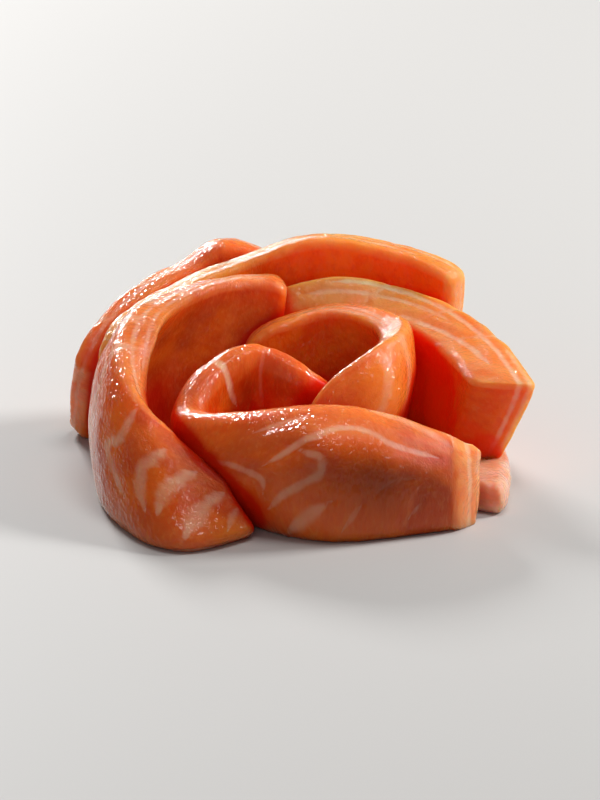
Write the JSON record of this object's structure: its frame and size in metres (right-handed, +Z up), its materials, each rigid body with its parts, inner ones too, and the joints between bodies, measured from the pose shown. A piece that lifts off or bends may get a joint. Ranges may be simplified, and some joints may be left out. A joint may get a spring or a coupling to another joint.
{
  "type": "salmon sashimi rose",
  "caption": "Raw salmon sashimi: thick slices stood on edge and wrapped round each other into an open flower, ready to serve.",
  "frame": {"origin": "middle of the bounding box at the height of the board the slices stand on", "axes": "+Z up from the board, -Y towards the viewer of the serving side, +X to that viewer's right"},
  "size_m": [0.0834, 0.0816, 0.0357],
  "materials": {
    "salmon_flesh": "wet gloss"
  },
  "bodies": {
    "root": {"heart_slice": "salmon_flesh", "front_slice": "salmon_flesh", "left_slice": "salmon_flesh", "right_under_slice": "salmon_flesh", "right_slice": "salmon_flesh", "back_slice": "salmon_flesh", "back_left_slice": "salmon_flesh"}
  },
  "joints": []
}
